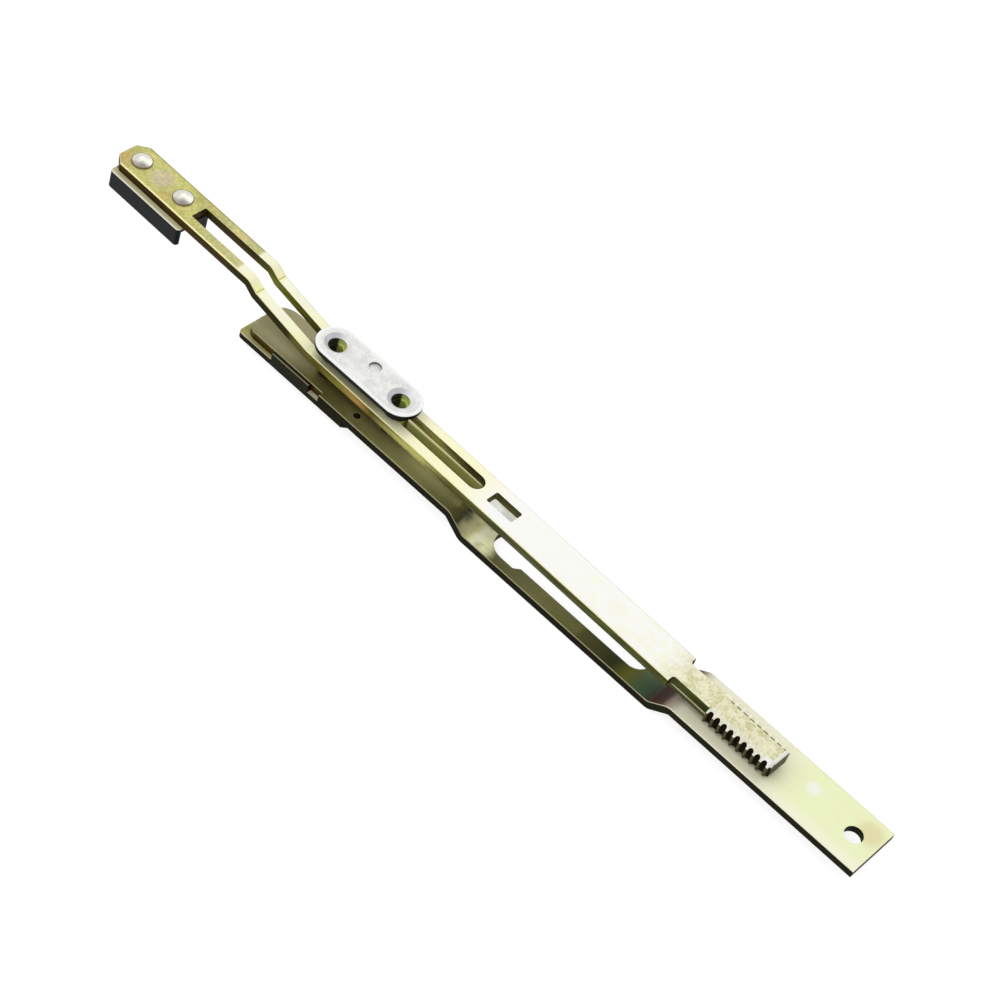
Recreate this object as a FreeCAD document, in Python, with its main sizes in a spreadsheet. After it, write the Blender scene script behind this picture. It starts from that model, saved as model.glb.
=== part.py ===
import FreeCAD, Part
import math
import os
import Sketcher

# Tilt and turn espagnolette, in millimetres. The origin is the axis of the base plate's screw
# hole, on the plate's top face. +X runs along the plate to its screwed end, +Z points up from
# the plate to the drive rod. Places along X are stated as distances to the left of the origin
# for the fixed pieces, and as distances from the middle of the guide for the sliding ones.

os.makedirs("parts", exist_ok=True)
doc = FreeCAD.newDocument("Espagnolette")

SIZES = [
    ("base_width", 16.0, "width of the base plate, the European hardware groove"),
    ("base_thickness", 2.15, "sheet thickness of the base plate"),
    ("base_right_end", 6.05, "screw hole to the right end"),
    ("base_left_end", 190.3, "screw hole to the left end"),
    ("base_corner", 4.5, "radius of the back left corner"),
    ("base_edge", 0.25, "rounding of the base plate's top edges, the right end's aside"),
    ("base_hole", 4.75, "diameter of the screw hole"),
    ("step_drop", 3.65, "how far the middle of the base plate lies lower"),
    ("step_angle", 34.5, "slope of both ramps, in degrees"),
    ("left_ramp", 119.8, "screw hole to the top bend of the left ramp"),
    ("right_ramp", 49.7, "screw hole to the top bend of the right ramp"),
    ("bend_radius", 1.2, "inner radius of the sheet bends"),
    ("window_head", 5.1, "radius of the wide left end of the window"),
    ("window_head_place", 104.4, "screw hole to the centre of the wide end"),
    ("window_shoulder", 100.5, "screw hole to where the wide end starts to narrow"),
    ("window_taper", 1.5, "length of the narrowing"),
    ("window_width", 7.4, "width of the window's long part"),
    ("window_tail_place", 64.8, "screw hole to the centre of the rounded right end"),
    ("notch_right", 163.9, "screw hole to the right walls of the edge notches"),
    ("notch_depth", 1.25, "depth of the edge notches, open to the left end"),
    ("notch_corner", 3.0, "radius of the front left corner"),
    ("index_hole", 1.8, "diameter of the small index hole"),
    ("index_place", 153.8, "screw hole to the index hole"),
    ("index_side", 5.0, "index hole to the middle line"),
    ("strip_thickness", 1.6, "thickness of the backing strip"),
    ("strip_overhang", 1.2, "backing strip past the plate's left end"),
    ("strip_right", 154.4, "screw hole to the strip's right end"),
    ("strip_corner", 1.1, "chamfer of the strip's right corners"),
    ("strip_front_corner", 1.3, "radius of the strip's front left corner"),
    ("strip_back_corner", 3.6, "radius of the strip's back left corner"),
    ("insert_left", 180.0, "screw hole to the left end of the insert"),
    ("insert_right", 167.5, "screw hole to the right end of the insert"),
    ("insert_gap", 0.12, "gap round the insert"),
    ("guide_place", 157.2, "screw hole to the middle of the guide"),
    ("guide_spacing", 21.45, "distance between the guide's screw holes"),
    ("guide_length", 32.5, "length of the guide plate"),
    ("guide_width", 11.05, "width of the guide plate"),
    ("guide_thickness", 1.3, "thickness of the guide plate"),
    ("guide_rim", 0.25, "rounding of the guide plate's top edge"),
    ("sink_depth", 0.8, "depth of the guide plate's countersinks"),
    ("countersink", 6.9, "top diameter of the guide plate's countersinks"),
    ("dimple", 3.3, "diameter of the blind dimple"),
    ("dimple_depth", 0.7, "depth of the blind dimple"),
    ("dimple_side", 2.0, "dimple centre to the middle line"),
    ("collar", 6.4, "diameter of the bush's collar under the rod"),
    ("bush_neck", 4.2, "diameter of the bush where it passes the slot"),
    ("bush_bore", 3.5, "screw bore through the bush"),
    ("neck_recess", 1.0, "guide plate's underside to the top of the bush's neck"),
    ("bush_tail", 4.9, "diameter of the bush's tail in the base plate"),
    ("bush_flare", 6.1, "diameter of the riveted-over tail"),
    ("flare_depth", 0.8, "depth of the riveted-over tail"),
    ("guide_hole", 4.7, "diameter of the screw holes under the countersinks"),
    ("spacer", 7.0, "outer diameter of the spacer ring"),
    ("spacer_height", 2.8, "height of the spacer ring"),
    ("cut_margin", 1.0, "how far a cut or a hidden overlap runs past a face"),
    ("fit_gap", 0.05, "radial clearance of turned fits"),
    ("slide_gap", 0.1, "play of the rod above and below"),
    ("rod_lift", 3.3, "base plate top to rod underside"),
    ("rod_width", 10.3, "width of the drive rod"),
    ("rod_thickness", 2.4, "thickness of the drive rod"),
    ("rod_edge", 0.3, "rounding of the rod's long edges and of its tip"),
    ("rod_skew", 0.848, "turn of the rod within the guide's play, in degrees"),
    ("tip_place", 86.8, "guide middle to the rod's tip"),
    ("tip_cut_long", 2.8, "tip chamfer along the rod"),
    ("tip_cut_wide", 2.4, "tip chamfer across the rod"),
    ("head_rise", 5.35, "how far the head lies above the rest of the rod"),
    ("crank_top", 37.3, "guide middle to the bend at the head"),
    ("crank_middle", 34.3, "guide middle to the bend between steep and gentle slopes"),
    ("crank_foot", 15.5, "guide middle to the bend at the foot"),
    ("crank_fall", 1.925, "drop of the steep slope"),
    ("crank_round", 1.6, "inner radius of the rod's bends"),
    ("slot_width", 4.8, "width of the fork slot"),
    ("slot_side", 0.1, "slot middle line off the rod's"),
    ("slot_left", 60.9, "guide middle to the squared slot end"),
    ("slot_right", 39.6, "guide middle to the rounded slot end"),
    ("slot_corner", 0.3, "corner radius of the squared slot end"),
    ("port_left", 42.6, "guide middle to the small window's left end"),
    ("port_length", 8.3, "length of the small window"),
    ("port_width", 4.05, "width of the small window"),
    ("port_corner", 0.5, "corner radius of the small window"),
    ("shoulder", 104.2, "guide middle to the rod's shoulders"),
    ("shoulder_round", 0.8, "rounding in the shoulder's corner"),
    ("neck_width", 6.1, "width of the neck"),
    ("block_left", 115.2, "guide middle to the toothed block"),
    ("block_length", 19.6, "length of the toothed block"),
    ("block_height", 4.7, "height of the toothed block"),
    ("block_width", 7.2, "width of the toothed block over its teeth"),
    ("block_round", 1.2, "rounding of the block's right top edge"),
    ("block_bevel", 1.5, "bevel of the block's front top edge"),
    ("tooth_pitch", 2.05, "distance between teeth"),
    ("tooth_depth", 0.8, "depth of the gaps between teeth"),
    ("gap_width", 1.45, "width of the gaps at the teeth's tips"),
    ("front_gaps", 10.0, "number of gaps in the front edge"),
    ("back_gaps", 9.0, "number of gaps in the back edge"),
    ("front_gap_first", 1.2, "block end to the first front gap"),
    ("back_gap_first", 2.43, "block end to the first back gap"),
    ("tongue_thickness", 1.0, "thickness of the tongue under the neck"),
    ("tongue_overlap", 0.4, "tongue past the neck on each side"),
    ("tenon_length", 12.0, "length of the rod's tenon inside the block"),
    ("tenon_width", 3.4, "width of the tenon"),
    ("tenon_thickness", 1.4, "thickness of the tenon"),
    ("shoe_left", 85.5, "guide middle to the shoe's left end"),
    ("shoe_length", 25.1, "length of the bolt shoe"),
    ("shoe_front", 6.7, "rod's middle line to the shoe's front face"),
    ("shoe_back", 4.1, "rod's middle line to the shoe's back face"),
    ("shoe_height", 5.7, "height of the bolt shoe"),
    ("shoe_wall", 1.2, "thickness of the shoe's two walls and of its web"),
    ("shoe_corner", 0.9, "radius of the shoe's upright corners"),
    ("shoe_edge", 0.3, "rounding of the shoe's top edge"),
    ("shoe_foot", 0.7, "rounding of the walls' lower corners"),
    ("front_rivet_place", 81.6, "guide middle to the front rivet"),
    ("rear_rivet_place", 66.55, "guide middle to the rear rivet"),
    ("rivet_head", 5.5, "diameter of the rivet heads"),
    ("rivet_crown", 1.6, "diameter of the flat on the rivet heads"),
    ("rivet_rise", 0.95, "height of the rivet heads"),
    ("rivet_rim", 0.25, "height of the rivet heads at their rim"),
    ("rivet_shank", 3.6, "diameter of the rivet shanks"),
    ("rivet_tail", 4.9, "diameter of the rivets' closed tails"),
    ("tail_height", 0.8, "height of the closed tails"),
]

sheet = doc.addObject("Spreadsheet::Sheet", "Sizes")
for row, (alias, value, note) in enumerate(SIZES, start=1):
    sheet.set(f"A{row}", alias)
    sheet.set(f"B{row}", str(value))
    sheet.set(f"C{row}", note)
    sheet.setAlias(f"B{row}", alias)
doc.recompute()


def size(alias):
    """Value of one sheet cell."""
    return float(sheet.get(alias))


def new_body(name):
    body = doc.addObject("PartDesign::Body", name)
    body.Label = name
    return body


def origin_feature(body, role):
    for feature in body.Origin.OriginFeatures:
        if feature.Role == role:
            return feature
    raise ValueError(role)


def new_sketch(body, name, plane, height=None):
    """Empty sketch on one of the body's own origin planes, raised by an expression."""
    sketch = body.newObject("Sketcher::SketchObject", name)
    sketch.AttachmentSupport = (origin_feature(body, plane), [""])
    sketch.MapMode = "FlatFace"
    if height is not None:
        sketch.setExpression("AttachmentOffset.Base.z", height)
    return sketch


def place_point(sketch, geometry, position, across, up):
    """Hold one point of the sketch at a pair of expressions."""
    for kind, expression in (("DistanceX", across), ("DistanceY", up)):
        number = sketch.addConstraint(Sketcher.Constraint(kind, -1, 1, geometry, position, 1.0))
        sketch.setExpression(f"Constraints[{number}]", expression)


def outline(body, name, plane, corners, height=None):
    """Closed outline with straight sides, each corner given as two expressions."""
    sketch = new_sketch(body, name, plane, height)
    count = len(corners)
    ring = []
    for index in range(count):
        turn = 2 * math.pi * index / count
        ring.append(FreeCAD.Vector(50 * math.cos(turn), 50 * math.sin(turn), 0))
    for index in range(count):
        sketch.addGeometry(Part.LineSegment(ring[index], ring[(index + 1) % count]), False)
    for index in range(count):
        following = (index + 1) % count
        sketch.addConstraint(Sketcher.Constraint("Coincident", index, 2, following, 1))
    for index, (across, up) in enumerate(corners):
        place_point(sketch, index, 1, across, up)
    return sketch


def circle(body, name, plane, across, up, diameter, height=None):
    sketch = new_sketch(body, name, plane, height)
    sketch.addGeometry(Part.Circle(FreeCAD.Vector(1, 1, 0), FreeCAD.Vector(0, 0, 1), 2.0), False)
    place_point(sketch, 0, 3, across, up)
    number = sketch.addConstraint(Sketcher.Constraint("Diameter", 0, 4.0))
    sketch.setExpression(f"Constraints[{number}]", diameter)
    return sketch


def rectangle(left, right, low, high):
    return [(left, low), (right, low), (right, high), (left, high)]


def pad(body, name, sketch, length, symmetric=False):
    feature = body.newObject("PartDesign::Pad", name)
    feature.Profile = sketch
    feature.setExpression("Length", length)
    if symmetric:
        feature.SideType = "Symmetric"
    doc.recompute()
    return feature


def cut(body, name, sketch, length=None, reversed_way=False):
    """Pocket through everything both ways, or to a depth from the sketch's plane."""
    before = body.Shape.Volume
    feature = body.newObject("PartDesign::Pocket", name)
    feature.Profile = sketch
    if length is None:
        feature.Type = "ThroughAll"
        feature.SideType = "Symmetric"
    else:
        feature.setExpression("Length", length)
        feature.Reversed = reversed_way
    doc.recompute()
    if not body.Shape.Volume < before:
        raise RuntimeError(f"{name} cuts nothing")
    return feature


def countersink(body, name, foot, radii, depth):
    """Upright conical cut: foot holds its X and Z, radii its lower and upper radius."""
    before = body.Shape.Volume
    cone = body.newObject("PartDesign::SubtractiveCone", name)
    cone.AttachmentSupport = (origin_feature(body, "XY_Plane"), [""])
    cone.MapMode = "FlatFace"
    cone.setExpression("AttachmentOffset.Base.x", foot[0])
    cone.setExpression("AttachmentOffset.Base.z", foot[1])
    cone.setExpression("Radius1", radii[0])
    cone.setExpression("Radius2", radii[1])
    cone.setExpression("Height", depth)
    doc.recompute()
    if not body.Shape.Volume < before:
        raise RuntimeError(f"{name} cuts nothing")


def edge_names(feature, wanted):
    names = []
    for number, edge in enumerate(feature.Shape.Edges, start=1):
        if wanted(edge):
            names.append(f"Edge{number}")
    if not names:
        raise RuntimeError(f"no edge of {feature.Name} fits")
    return names


def fillet(body, name, wanted, radius):
    base = body.Tip
    names = edge_names(base, wanted)
    feature = body.newObject("PartDesign::Fillet", name)
    feature.Base = (base, names)
    feature.setExpression("Radius", radius)
    doc.recompute()
    return feature


def near(first, second):
    return abs(first - second) < 0.01


def is_line(edge, direction):
    """True for a straight edge along the direction."""
    if edge.Curve.TypeId != "Part::GeomLine":
        return False
    return near(abs(edge.tangentAt(edge.FirstParameter).dot(direction)), 1.0)


ALONG = FreeCAD.Vector(1, 0, 0)
ACROSS = FreeCAD.Vector(0, 1, 0)
UPRIGHT = FreeCAD.Vector(0, 0, 1)


def middle(edge):
    return edge.BoundBox.Center


def crank_shift(angle_expression, thickness):
    """How far a bend moves along the sheet from one face to the other."""
    return f"{thickness} * tan({angle_expression} / 2)"


def long_top_edges(half_width, level):
    """Straight edges of a top face along both sides; rounding runs on round the bends."""

    def wanted(edge):
        place = middle(edge)
        return is_line(edge, ALONG) and near(abs(place.y), half_width) and near(place.z, level)

    return wanted


def left_corner(end, front):
    """Upright edge at a sheet's left end, in front or at the back."""

    def wanted(edge):
        place = middle(edge)
        return is_line(edge, UPRIGHT) and near(place.x, -end) and (place.y < 0) == front

    return wanted


# Base plate: side view of the joggled sheet, padded across, then cut in plan.

base = new_body("base_plate")
BASE_SHIFT = crank_shift("Sizes.step_angle", "Sizes.base_thickness")
RAMP_RUN = "Sizes.step_drop / tan(Sizes.step_angle)"
base_side = [
    ("-Sizes.base_left_end", "0"),
    ("-Sizes.left_ramp", "0"),
    (f"-Sizes.left_ramp + {RAMP_RUN}", "-Sizes.step_drop"),
    (f"-Sizes.right_ramp - {RAMP_RUN}", "-Sizes.step_drop"),
    ("-Sizes.right_ramp", "0"),
    ("Sizes.base_right_end", "0"),
    ("Sizes.base_right_end", "-Sizes.base_thickness"),
    (f"-Sizes.right_ramp + {BASE_SHIFT}", "-Sizes.base_thickness"),
    (f"-Sizes.right_ramp - {RAMP_RUN} + {BASE_SHIFT}", "-Sizes.step_drop - Sizes.base_thickness"),
    (f"-Sizes.left_ramp + {RAMP_RUN} - {BASE_SHIFT}", "-Sizes.step_drop - Sizes.base_thickness"),
    (f"-Sizes.left_ramp - {BASE_SHIFT}", "-Sizes.base_thickness"),
    ("-Sizes.base_left_end", "-Sizes.base_thickness"),
]
pad(base, "BaseSheet", outline(base, "BaseSide", "XZ_Plane", base_side), "Sizes.base_width", True)


def base_bends(outer):
    """Bend edges of the base plate on the outside or the inside of each bend."""
    top_bend = 0.0
    foot_bend = -size("step_drop")
    thickness = size("base_thickness")
    outside = (top_bend, foot_bend - thickness)
    inside = (top_bend - thickness, foot_bend)
    levels = outside if outer else inside
    left = -size("base_left_end")
    right = size("base_right_end")

    def wanted(edge):
        place = middle(edge)
        inland = left + 1 < place.x < right - 1
        return is_line(edge, ACROSS) and inland and any(near(place.z, level) for level in levels)

    return wanted


fillet(base, "BaseBendsInside", base_bends(False), "Sizes.bend_radius")
fillet(base, "BaseBendsOutside", base_bends(True), "Sizes.bend_radius + Sizes.base_thickness")
for side, sign in (("Front", "-"), ("Back", "")):
    notch_plan = rectangle(
        "-Sizes.base_left_end - Sizes.cut_margin",
        "-Sizes.notch_right",
        f"{sign}Sizes.base_width",
        f"{sign}(Sizes.base_width / 2 - Sizes.notch_depth)",
    )
    cut(base, f"{side}Notch", outline(base, f"{side}NotchPlan", "XY_Plane", notch_plan))
fillet(base, "FrontLeftCorner", left_corner(size("base_left_end"), True), "Sizes.notch_corner")
fillet(base, "BackLeftCorner", left_corner(size("base_left_end"), False), "Sizes.base_corner")
wide_edges = long_top_edges(size("base_width") / 2, 0.0)
notch_edges = long_top_edges(size("base_width") / 2 - size("notch_depth"), 0.0)
fillet(base, "BaseEdges", lambda edge: wide_edges(edge) or notch_edges(edge), "Sizes.base_edge")
cut(base, "ScrewHole", circle(base, "ScrewCircle", "XY_Plane", "0", "0", "Sizes.base_hole"))
cut(
    base,
    "WindowHead",
    circle(base, "HeadCircle", "XY_Plane", "-Sizes.window_head_place", "0", "2 * Sizes.window_head"),
)
window_plan = [
    ("-Sizes.window_head_place", "-Sizes.window_head"),
    ("-Sizes.window_shoulder", "-Sizes.window_head"),
    ("-Sizes.window_shoulder + Sizes.window_taper", "-Sizes.window_width / 2"),
    ("-Sizes.window_tail_place", "-Sizes.window_width / 2"),
    ("-Sizes.window_tail_place", "Sizes.window_width / 2"),
    ("-Sizes.window_shoulder + Sizes.window_taper", "Sizes.window_width / 2"),
    ("-Sizes.window_shoulder", "Sizes.window_head"),
    ("-Sizes.window_head_place", "Sizes.window_head"),
]
cut(base, "WindowLong", outline(base, "WindowPlan", "XY_Plane", window_plan))
cut(
    base,
    "WindowTail",
    circle(base, "TailCircle", "XY_Plane", "-Sizes.window_tail_place", "0", "Sizes.window_width"),
)
cut(
    base,
    "IndexHole",
    circle(base, "IndexCircle", "XY_Plane", "-Sizes.index_place", "-Sizes.index_side", "Sizes.index_hole"),
)
LEFT_BUSH = "-Sizes.guide_place - Sizes.guide_spacing / 2"
RIGHT_BUSH = "-Sizes.guide_place + Sizes.guide_spacing / 2"
for side, place in (("Left", LEFT_BUSH), ("Right", RIGHT_BUSH)):
    tail_hole = circle(
        base, f"{side}TailCircle", "XY_Plane", place, "0", "Sizes.bush_tail + 2 * Sizes.fit_gap"
    )
    cut(base, f"{side}TailHole", tail_hole)
FLARE_RADII = ("Sizes.bush_flare / 2 + Sizes.fit_gap", "Sizes.bush_tail / 2 + Sizes.fit_gap")
countersink(base, "RightFlareSeat", (RIGHT_BUSH, "-Sizes.base_thickness"), FLARE_RADII, "Sizes.flare_depth")


# Backing strip under the left end, notched for the insert and drilled for the left bush.

strip = new_body("backing_strip")
STRIP_LEFT = "-Sizes.base_left_end - Sizes.strip_overhang"
STRIP_NOTCH = "-Sizes.base_width / 2 + Sizes.notch_depth"
strip_plan = [
    (STRIP_LEFT, "-Sizes.base_width / 2"),
    ("-Sizes.insert_left - Sizes.insert_gap", "-Sizes.base_width / 2"),
    ("-Sizes.insert_left - Sizes.insert_gap", STRIP_NOTCH),
    ("-Sizes.insert_right + Sizes.insert_gap", STRIP_NOTCH),
    ("-Sizes.insert_right + Sizes.insert_gap", "-Sizes.base_width / 2"),
    ("-Sizes.strip_right - Sizes.strip_corner", "-Sizes.base_width / 2"),
    ("-Sizes.strip_right", "-Sizes.base_width / 2 + Sizes.strip_corner"),
    ("-Sizes.strip_right", "Sizes.base_width / 2 - Sizes.strip_corner"),
    ("-Sizes.strip_right - Sizes.strip_corner", "Sizes.base_width / 2"),
    (STRIP_LEFT, "Sizes.base_width / 2"),
]
strip_sketch = outline(
    strip, "StripPlan", "XY_Plane", strip_plan, "-Sizes.base_thickness - Sizes.strip_thickness"
)
pad(strip, "StripSheet", strip_sketch, "Sizes.strip_thickness")
strip_end = size("base_left_end") + size("strip_overhang")
fillet(strip, "StripFrontCorner", left_corner(strip_end, True), "Sizes.strip_front_corner")
fillet(strip, "StripBackCorner", left_corner(strip_end, False), "Sizes.strip_back_corner")
cut(
    strip,
    "StripTailHole",
    circle(strip, "StripTailCircle", "XY_Plane", LEFT_BUSH, "0", "Sizes.bush_tail + 2 * Sizes.fit_gap"),
)
STRIP_LOW = "-Sizes.base_thickness - Sizes.strip_thickness"
countersink(strip, "LeftFlareSeat", (LEFT_BUSH, STRIP_LOW), FLARE_RADII, "Sizes.flare_depth")


# Edge insert: a small cast block flush with the plate's top and the strip's underside.

insert = new_body("edge_insert")
insert_plan = rectangle(
    "-Sizes.insert_left",
    "-Sizes.insert_right",
    "-Sizes.base_width / 2",
    "-Sizes.base_width / 2 + Sizes.notch_depth - Sizes.insert_gap",
)
insert_sketch = outline(
    insert, "InsertPlan", "XY_Plane", insert_plan, "-Sizes.base_thickness - Sizes.strip_thickness"
)
pad(insert, "InsertBlock", insert_sketch, "Sizes.base_thickness + Sizes.strip_thickness")


# Guide plate: a stadium with two countersunk holes and a blind dimple.

ROD_TOP = "(Sizes.rod_lift + Sizes.rod_thickness)"
GUIDE_LOW = f"({ROD_TOP} + Sizes.slide_gap + Sizes.spacer_height)"
GUIDE_TOP = f"({GUIDE_LOW} + Sizes.guide_thickness)"
GUIDE_REACH = "(Sizes.guide_length - Sizes.guide_width) / 2"

guide = new_body("guide_plate")
guide_middle = rectangle(
    f"-Sizes.guide_place - {GUIDE_REACH}",
    f"-Sizes.guide_place + {GUIDE_REACH}",
    "-Sizes.guide_width / 2",
    "Sizes.guide_width / 2",
)
guide_sketch = outline(guide, "GuidePlan", "XY_Plane", guide_middle, GUIDE_LOW)
pad(guide, "GuideMiddle", guide_sketch, "Sizes.guide_thickness")
GUIDE_ENDS = (
    ("Left", f"-Sizes.guide_place - {GUIDE_REACH}"),
    ("Right", f"-Sizes.guide_place + {GUIDE_REACH}"),
)
for side, place in GUIDE_ENDS:
    end_circle = circle(guide, f"{side}EndCircle", "XY_Plane", place, "0", "Sizes.guide_width", GUIDE_LOW)
    pad(guide, f"{side}End", end_circle, "Sizes.guide_thickness")
guide_top = guide.Shape.BoundBox.ZMax
fillet(guide, "GuideRim", lambda edge: near(edge.BoundBox.ZMin, guide_top), "Sizes.guide_rim")
dimple_circle = circle(
    guide, "DimpleCircle", "XY_Plane", "-Sizes.guide_place", "Sizes.dimple_side", "Sizes.dimple", GUIDE_TOP
)
cut(guide, "Dimple", dimple_circle, "Sizes.dimple_depth")
for side, place in (("Left", LEFT_BUSH), ("Right", RIGHT_BUSH)):
    hole_circle = circle(guide, f"{side}HoleCircle", "XY_Plane", place, "0", "Sizes.guide_hole")
    cut(guide, f"{side}Hole", hole_circle)
    countersink(
        guide,
        f"{side}Countersink",
        (place, f"{GUIDE_TOP} - Sizes.sink_depth"),
        ("Sizes.guide_hole / 2", "Sizes.countersink / 2"),
        "Sizes.sink_depth",
    )


def turned(name, profile, place_x, place_y="0"):
    """Piece turned about an upright axis, from half of its section."""
    body = new_body(name)
    sketch = outline(body, f"{name}_section", "XZ_Plane", profile)
    feature = body.newObject("PartDesign::Revolution", f"{name}_turned")
    feature.Profile = sketch
    feature.ReferenceAxis = (origin_feature(body, "Z_Axis"), [""])
    feature.Angle = 360
    body.setExpression("Placement.Base.x", place_x)
    body.setExpression("Placement.Base.y", place_y)
    doc.recompute()
    return body


# Guide bushes: collar under the rod, neck through the slot, tail riveted over in the plate.
# The left tail also passes through the backing strip.

BUSHES = (
    ("left", LEFT_BUSH, "(Sizes.base_thickness + Sizes.strip_thickness)"),
    ("right", RIGHT_BUSH, "Sizes.base_thickness"),
)
COLLAR_TOP = "Sizes.rod_lift - Sizes.slide_gap"
for side, place, depth in BUSHES:
    bush_section = [
        ("Sizes.bush_bore / 2", f"-{depth}"),
        ("Sizes.bush_flare / 2", f"-{depth}"),
        ("Sizes.bush_tail / 2", f"-{depth} + Sizes.flare_depth"),
        ("Sizes.bush_tail / 2", "0"),
        ("Sizes.collar / 2", "0"),
        ("Sizes.collar / 2", COLLAR_TOP),
        ("Sizes.bush_neck / 2", COLLAR_TOP),
        ("Sizes.bush_neck / 2", f"{GUIDE_LOW} - Sizes.neck_recess"),
        ("Sizes.bush_bore / 2", f"{GUIDE_LOW} - Sizes.neck_recess"),
    ]
    turned(f"guide_bush_{side}", bush_section, place)
    spacer_section = rectangle(
        "Sizes.bush_neck / 2 + Sizes.fit_gap",
        "Sizes.spacer / 2",
        f"{ROD_TOP} + Sizes.slide_gap",
        GUIDE_LOW,
    )
    turned(f"guide_spacer_{side}", spacer_section, place)


def ride_on_rod(body):
    """Give a piece the drive rod's own frame: the guide's middle, turned by the skew."""
    body.Placement = FreeCAD.Placement(
        FreeCAD.Vector(-size("guide_place"), 0, 0),
        FreeCAD.Rotation(FreeCAD.Vector(0, 0, -1), size("rod_skew")),
    )
    body.setExpression("Placement.Base.x", "-Sizes.guide_place")
    body.setExpression("Placement.Rotation.Angle", "Sizes.rod_skew")
    doc.recompute()


# Drive rod: side view of the cranked sheet, padded across, then cut in plan.

rod = new_body("drive_rod")
HEAD_TOP = f"({ROD_TOP} + Sizes.head_rise)"
STEEP = "atan(Sizes.crank_fall / (Sizes.crank_top - Sizes.crank_middle))"
GENTLE = "atan((Sizes.head_rise - Sizes.crank_fall) / (Sizes.crank_middle - Sizes.crank_foot))"
BISECTOR = f"(({STEEP} + {GENTLE}) / 2)"
MITRE = f"(Sizes.rod_thickness / cos(({STEEP} - {GENTLE}) / 2))"
TENON_END = "Sizes.block_left + Sizes.tenon_length"
TENON_TOP = "Sizes.rod_lift + Sizes.tenon_thickness"
rod_side = [
    ("-Sizes.tip_place", HEAD_TOP),
    ("-Sizes.crank_top", HEAD_TOP),
    ("-Sizes.crank_middle", f"{HEAD_TOP} - Sizes.crank_fall"),
    ("-Sizes.crank_foot", ROD_TOP),
    ("Sizes.block_left", ROD_TOP),
    ("Sizes.block_left", TENON_TOP),
    (TENON_END, TENON_TOP),
    (TENON_END, "Sizes.rod_lift"),
    (f"-Sizes.crank_foot - {crank_shift(GENTLE, 'Sizes.rod_thickness')}", "Sizes.rod_lift"),
    (
        f"-Sizes.crank_middle - {MITRE} * sin({BISECTOR})",
        f"{HEAD_TOP} - Sizes.crank_fall - {MITRE} * cos({BISECTOR})",
    ),
    (
        f"-Sizes.crank_top - {crank_shift(STEEP, 'Sizes.rod_thickness')}",
        f"{HEAD_TOP} - Sizes.rod_thickness",
    ),
    ("-Sizes.tip_place", f"{HEAD_TOP} - Sizes.rod_thickness"),
]
pad(rod, "RodSheet", outline(rod, "RodSide", "XZ_Plane", rod_side), "Sizes.rod_width", True)


def rod_bends(on_top, hollow):
    """Crank edges on the rod's top or underside; the head's bend is the outer one on top."""
    crank = (-size("crank_top"), -size("crank_middle"), -size("crank_foot"))
    top = {crank[0]: False, crank[1]: True, crank[2]: True}

    def wanted(edge):
        place = middle(edge)
        if not is_line(edge, ACROSS):
            return False
        for bend, hollow_on_top in top.items():
            beside = abs(place.x - bend) < size("rod_thickness")
            sheet_top = near(place.x, bend)
            if beside and sheet_top == on_top and (hollow_on_top == on_top) == hollow:
                return True
        return False

    return wanted


fillet(rod, "TopHollows", rod_bends(True, True), "Sizes.crank_round")
fillet(rod, "TopCrests", rod_bends(True, False), "Sizes.crank_round + Sizes.rod_thickness / 2")
fillet(rod, "LowHollows", rod_bends(False, True), "Sizes.crank_round / 2")
fillet(rod, "LowCrests", rod_bends(False, False), "Sizes.crank_round")


head_top = size("rod_lift") + size("rod_thickness") + size("head_rise")
fillet(rod, "RodEdges", long_top_edges(size("rod_width") / 2, head_top), "Sizes.rod_edge")

SLOT_LOW = "Sizes.slot_side - Sizes.slot_width / 2"
SLOT_HIGH = "Sizes.slot_side + Sizes.slot_width / 2"
ROD_EDGE = "Sizes.rod_width / 2"
SLOT_END = "Sizes.slot_right - Sizes.slot_width / 2"
slot_plan = rectangle("-Sizes.slot_left", SLOT_END, SLOT_LOW, SLOT_HIGH)
slot_round = circle(rod, "SlotCircle", "XY_Plane", SLOT_END, "Sizes.slot_side", "Sizes.slot_width")
cut(rod, "SlotEnd", slot_round)
cut(rod, "Slot", outline(rod, "SlotPlan", "XY_Plane", slot_plan))
fillet(
    rod,
    "SlotCorners",
    lambda edge: is_line(edge, UPRIGHT) and near(middle(edge).x, -size("slot_left")),
    "Sizes.slot_corner",
)
port_plan = rectangle(
    "Sizes.port_left",
    "Sizes.port_left + Sizes.port_length",
    "Sizes.slot_side - Sizes.port_width / 2",
    "Sizes.slot_side + Sizes.port_width / 2",
)
cut(rod, "Port", outline(rod, "PortPlan", "XY_Plane", port_plan))
port_middle = size("port_left") + size("port_length") / 2
fillet(
    rod,
    "PortCorners",
    lambda edge: is_line(edge, UPRIGHT)
    and near(abs(middle(edge).x - port_middle), size("port_length") / 2),
    "Sizes.port_corner",
)
for side, sign in (("Front", "-"), ("Back", "")):
    tip_plan = [
        ("-Sizes.tip_place", f"{sign}({ROD_EDGE} - Sizes.tip_cut_wide)"),
        ("-Sizes.tip_place + Sizes.tip_cut_long", f"{sign}{ROD_EDGE}"),
        ("-Sizes.tip_place", f"{sign}Sizes.rod_width"),
        ("-Sizes.tip_place - Sizes.tip_cut_long", f"{sign}{ROD_EDGE}"),
    ]
    cut(rod, f"{side}TipCut", outline(rod, f"{side}TipPlan", "XY_Plane", tip_plan))
fillet(
    rod,
    "TipEdges",
    lambda edge: near(edge.BoundBox.ZMin, head_top)
    and middle(edge).x < -size("tip_place") + size("tip_cut_long"),
    "Sizes.rod_edge",
)
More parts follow.
